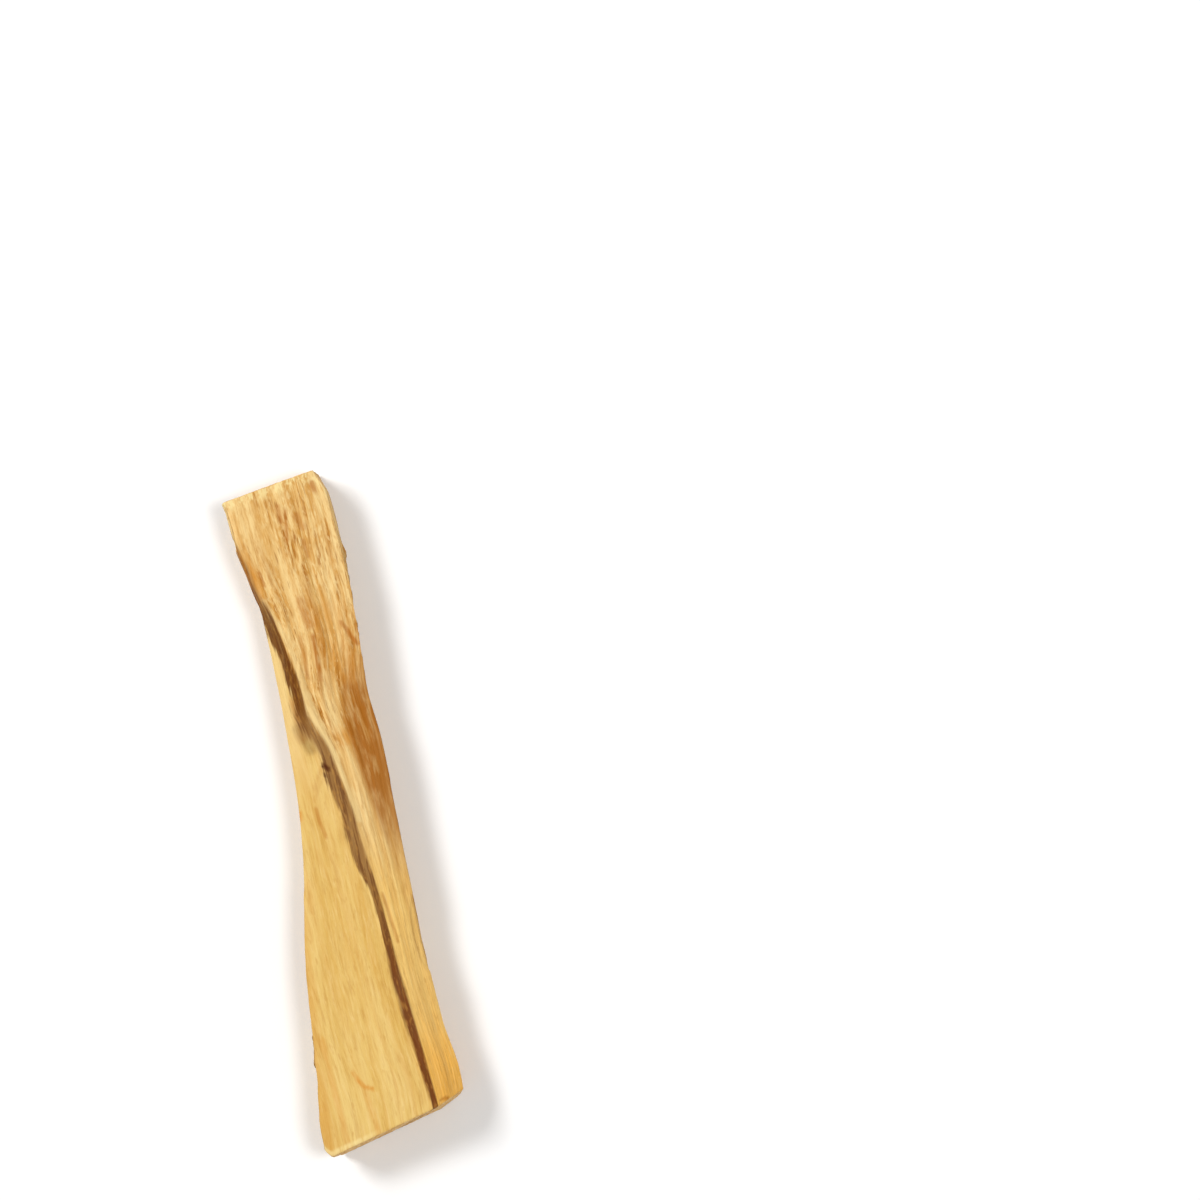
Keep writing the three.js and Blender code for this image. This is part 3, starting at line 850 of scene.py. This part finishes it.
class Wood(Graph):
    """The wood's colours, layer by layer, and its bumps."""

    def __init__(self, material):
        super().__init__(material)
        place = self.stored("place", "Vector")
        along, across, height = self.make("ShaderNodeSeparateXYZ", {0: place}).outputs
        self.values = {"along": along, "across": across, "height": height}
        self.values.update({name: self.stored(name) for name in ("vein", "sawn", "torn", "relief")})
        self.noises = {}
        fibres = self.stored("fibres", "Vector")
        self.places = {"fibres": fibres, "sawn face": self.vector("MULTIPLY", place, SWEEP)}
        wander = self.noise("wander")
        bend = self.join(wander, wander, 0.0)
        self.places["bent"] = self.vector("MULTIPLY_ADD", bend, STREAK_WANDER, fibres)
        self.places["rings"] = self.ring_places()

        # To the right of the vein the wood is streaked, and to its left it is paler and more even. The
        # streaks grow weaker towards the wide end, and on the left part of the narrow end.
        self.right_of_vein = self.change("right of vein")
        weak = self.times(self.change("narrow end"), self.change("left of narrow end"))
        self.values["streaked"] = self.times(
            self.right_of_vein, self.change("streaks weaken"), self.change("streaks weaken more"),
            self.minus(1.0, weak),
        )
        self.values["on torn"] = self.change("on torn")
        # The pores are fine short dashes, in crowds.
        self.pores = self.times(*map(self.change, ("pores", "crowded", "pores where streaked")))

    def noise(self, name):
        """One of the noises of GRAIN, 0 to 1. It is made where it is first used."""
        if name not in self.noises:
            over, across, along, detail, offset, rough = GRAIN[name]
            scale = (1 / across, 1 / across, 1 / along)
            moved = tuple(share * offset for share in OFFSET_SHARES)
            stretched = self.vector("MULTIPLY_ADD", self.places[over], scale, moved)
            self.noises[name] = self.make(
                "ShaderNodeTexNoise",
                {"Vector": stretched, "Scale": 1.0, "Detail": detail, "Roughness": rough},
            ).outputs["Fac"]
        return self.noises[name]

    def change(self, name):
        """One of CHANGES."""
        over, *limits = CHANGES[name]
        return self.ease(self.values[over] if over in self.values else self.noise(over), *limits)

    def laid(self, colour, over, *names):
        """A colour with another over it where all the named changes are strong."""
        return self.mix(self.times(*map(self.change, names)), colour, over)

    def ring_places(self):
        """Places that change from one growth ring to the next, round a heart far off to the right."""
        heart = self.vector("ADD", self.places["fibres"], HEART)
        flat = self.vector("MULTIPLY", heart, (1.0, 1.0, 0.0))
        radius = self.vector("LENGTH", flat, output="Value")
        ring = self.plus(radius, self.times(self.noise("wobble"), RING_WOBBLE))
        return self.join(ring, 0.0, self.times(self.values["along"], RING_DRIFT))

    def ground(self):
        """The wood on both sides of the vein, without its grain."""
        right_side = self.laid(CREAM, GOLD, "gold")
        right_side = self.laid(right_side, LOW_GOLD, "low gold")
        # Towards the wide end the wood turns orange, partly its own colour and partly painted warm light.
        right_side = self.laid(right_side, WIDE_END_ORANGE_AND_WARM_LIGHT, "wide end orange and warm light")
        return self.mix(self.right_of_vein, self.laid(PALE, PALE_GOLD, "pale gold"), right_side)

    def grained(self, colour):
        """Growth rings, blotches, streaks along the fibres and dots, and then lines, pores and flecks."""
        for over, *names in LAYERS:
            colour = self.laid(colour, over, *names)
        # Long thin lines of the grain show most on the torn faces.
        colour = self.mix(self.times(self.values["on torn"], TORN_HONEY), colour, HONEY)
        colour = self.laid(colour, STREAK, "dark lines", "dark lines where torn")
        colour = self.laid(colour, CREAM, "pale lines", "pale lines where torn")
        colour = self.mix(self.pores, colour, DASH)
        return self.laid(colour, FLECK, "flecks")

    def with_sawn_ends(self, colour):
        """The sawn ends show the growth rings, the ends of the pores and the marks of the saw."""
        end = self.laid(END_PALE, END_DARK, "end bands")
        end = self.laid(end, STREAK, "pore ends")
        end = self.laid(end, HONEY, "saw sweep")
        return self.mix(self.values["sawn"], colour, end)

    def marked(self, colour):
        """The stain with its painted shadow, and the marks, uneven among the fibres."""
        for name, over in (("stain_and_shadow", ORANGE_BROWN), ("orange", ORANGE), ("dark", RED_BROWN)):
            share = self.times(self.stored(name), self.change("uneven " + name))
            colour = self.mix(share, colour, over)
        # Cream where the light marks are; the one along the ridge's crest is a painted highlight.
        return self.mix(self.stored("light"), colour, CREAM)

    def vein_side(self, inside, soft):
        """From 0 to 1 across a side of the vein, which is soft over twice this share of its width."""
        return self.ease(self.math("DIVIDE", inside, soft), -1.0, 1.0)

    def vein_colour(self):
        colour = self.laid(VEIN_BROWN, VEIN_RED, "vein reddens")
        colour = self.laid(colour, VEIN_PURPLE, "purple begins", "purple ends", "purple high up")
        colour = self.laid(colour, ORANGE_BROWN, "vein turns orange")
        colour = self.laid(colour, VEIN_DARK, "vein tone")
        return self.laid(colour, HONEY, "specks")

    def veined(self, colour):
        """The dark vein and the knot. Its soft sides are feathered among the fibres, the left one more."""
        vein = self.values["vein"]
        feather = self.times(self.minus(self.noise("feather"), 0.5), self.change("feathered"))
        blurred = self.times(self.change("blur begins"), self.change("blur ends"))
        blurred = self.plus(blurred, self.change("slight blur"))
        soft = self.plus(blurred, self.change("softness"))
        from_right = self.plus(vein, self.times(feather, RIGHT_FEATHER))
        from_left = self.minus(1.0, self.plus(vein, feather))
        share = self.times(self.vein_side(from_right, soft), self.vein_side(from_left, soft))

        # Only towards the wide end does it go through the whole depth of the wood, fainter further down.
        deep = self.times(self.change("vein goes through"), self.change("vein far down"))
        deep = self.math("MAXIMUM", deep, self.change("vein high up"))
        deep = self.times(deep, self.change("vein on sawn ends"))
        colour = self.mix(self.times(share, deep), colour, self.vein_colour())
        return self.mix(self.times(self.stored("knot"), self.change("uneven knot")), colour, MARK)

    def relief_shade_and_highlight(self, colour):
        """Painted shade and painted highlight: grooves are a little darker and raised fibres a little
        lighter.
        """
        colour = self.laid(colour, STREAK, "painted shade in grooves")
        return self.laid(colour, CREAM, "painted highlight on raised fibres")

    def frayed_and_highlit(self, colour):
        """The rims are pale: all of the narrow one, which is frayed, and the left part of the wide one, which
        is worn and carries a painted highlight.
        """
        narrow = self.times(*map(self.change, ("narrow rim", "narrow rim frays")))
        # The wide rim's pale band is partly wear and partly a painted highlight.
        wide = self.times(*map(self.change, ("painted highlight on wide rim", "left part of wide rim highlight", "wide rim highlight breaks up")))
        rims = self.math("MAXIMUM", narrow, wide)
        rims = self.times(rims, self.change("beside the cuts"), self.change("rims high up"))
        return self.mix(rims, colour, FRAYED_AND_HIGHLIGHT)

    def bumps(self):
        """Single fibres, too fine for the mesh, stand out between the pores and the dark streaks."""
        height = self.minus(self.noise("threads"), self.times(self.pores, PORE_BUMP))
        height = self.minus(height, self.times(self.noise("streaks"), self.change("streak bumps")))
        height = self.minus(height, self.times(self.noise("lines"), self.change("line bumps")))
        height = self.plus(height, self.times(self.noise("sweep"), self.values["sawn"], SAW_BUMP))
        return self.make(
            "ShaderNodeBump", {"Height": height, "Strength": BUMP_STRENGTH, "Distance": BUMP_HEIGHT}
        ).outputs[0]


def wood_material():
    material = bpy.data.materials.new(PIECE)
    wood = Wood(material)
    colour = wood.ground()
    for layer in (wood.grained, wood.with_sawn_ends, wood.marked, wood.veined, wood.relief_shade_and_highlight, wood.frayed_and_highlit):
        colour = layer(colour)
    wood.finish({
        "Base Color": colour, "Roughness": wood.change("roughness"), "Normal": wood.bumps(),
        "Specular IOR Level": SPECULAR,
    })
    return material


# The camera is where the photograph was taken from: high over the stick, with its narrow end up in the
# picture. Pixels are those of the 1200 by 1200 photograph, and lengths are in millimetres. In the picture
# the narrow end leans to the left by LEAN.
PHOTO = 1200
PIXEL = 0.15
NARROW_END_PIXEL = (270.6, 485.7)
LEAN = math.radians(11.3)
ELEVATION = math.radians(84)
FOCAL_PIXELS = 3876
DISTANCE = 582.5
AIM_HEIGHT = 9
SENSOR = 36
NEAREST = 10


def place_camera(middle):
    """middle is the middle of the stick's own measures, which lies over the frame's origin."""
    right, down = (PHOTO / 2 - pixel for pixel in NARROW_END_PIXEL)
    along = (right * math.sin(LEAN) + down * math.cos(LEAN)) * PIXEL
    across = -(right * math.cos(LEAN) - down * math.sin(LEAN)) * PIXEL
    aim = Vector((-along - middle[0], across - middle[1], AIM_HEIGHT)) * MM
    ahead = Vector((math.cos(LEAN), -math.sin(LEAN), 0))
    back = Vector((0, 0, math.sin(ELEVATION))) - ahead * math.cos(ELEVATION)
    up = Vector((0, 0, math.cos(ELEVATION))) + ahead * math.sin(ELEVATION)
    turned = Matrix((up.cross(back), up, back)).transposed().to_4x4()
    camera = bpy.data.objects.new("camera", bpy.data.cameras.new("camera"))
    bpy.context.collection.objects.link(camera)
    camera.matrix_world = Matrix.Translation(aim + back * DISTANCE * MM) @ turned
    camera.data.sensor_width = SENSOR
    camera.data.lens = camera.data.sensor_width * FOCAL_PIXELS / PHOTO
    camera.data.clip_start = NEAREST * MM
    bpy.context.scene.camera = camera


# Half the width of the floor and its height, a hair below the stick, in metres.
FLOOR_HALF = 1.6
FLOOR_HEIGHT = -0.00005
FLOOR_LOOK = {"Base Color": (0.93, 0.93, 0.93, 1), "Roughness": 0.9, "Specular IOR Level": 0.1}


def make_floor():
    mesh = bpy.data.meshes.new("floor")
    signs = (-1, -1), (1, -1), (1, 1), (-1, 1)
    corners = [(x * FLOOR_HALF, y * FLOOR_HALF, FLOOR_HEIGHT) for x, y in signs]
    mesh.from_pydata(corners, [], [(0, 1, 2, 3)])
    material = bpy.data.materials.new("floor")
    Graph(material).finish(FLOOR_LOOK)
    mesh.materials.append(material)
    floor = bpy.data.objects.new("floor", mesh)
    bpy.context.collection.objects.link(floor)


# Square soft lights that point at the stick, in metres and watts, and the even light all round.
LIGHTS = [
    {"name": "key", "place": (0.4, 0.5, 0.9), "size": 0.3, "power": 6.7},
    {"name": "fill", "place": (-0.12, -0.34, 1.1), "size": 0.25, "power": 4.6},
]
WORLD_STRENGTH = 0.38


def light_scene():
    for listed in LIGHTS:
        light = bpy.data.objects.new(listed["name"], bpy.data.lights.new(listed["name"], "AREA"))
        light.data.size = listed["size"]
        light.data.energy = listed["power"]
        bpy.context.collection.objects.link(light)
        light.location = listed["place"]
        light.rotation_euler = (-Vector(listed["place"])).to_track_quat("-Z", "Y").to_euler()
    world = bpy.data.worlds.new("studio")
    bpy.context.scene.world = world
    world.use_nodes = True
    world.node_tree.nodes["Background"].inputs["Color"].default_value = (1, 1, 1, 1)
    world.node_tree.nodes["Background"].inputs["Strength"].default_value = WORLD_STRENGTH
    bpy.context.scene.view_settings.view_transform = "Standard"


place_camera(make_stick(wood_material()))
make_floor()
light_scene()
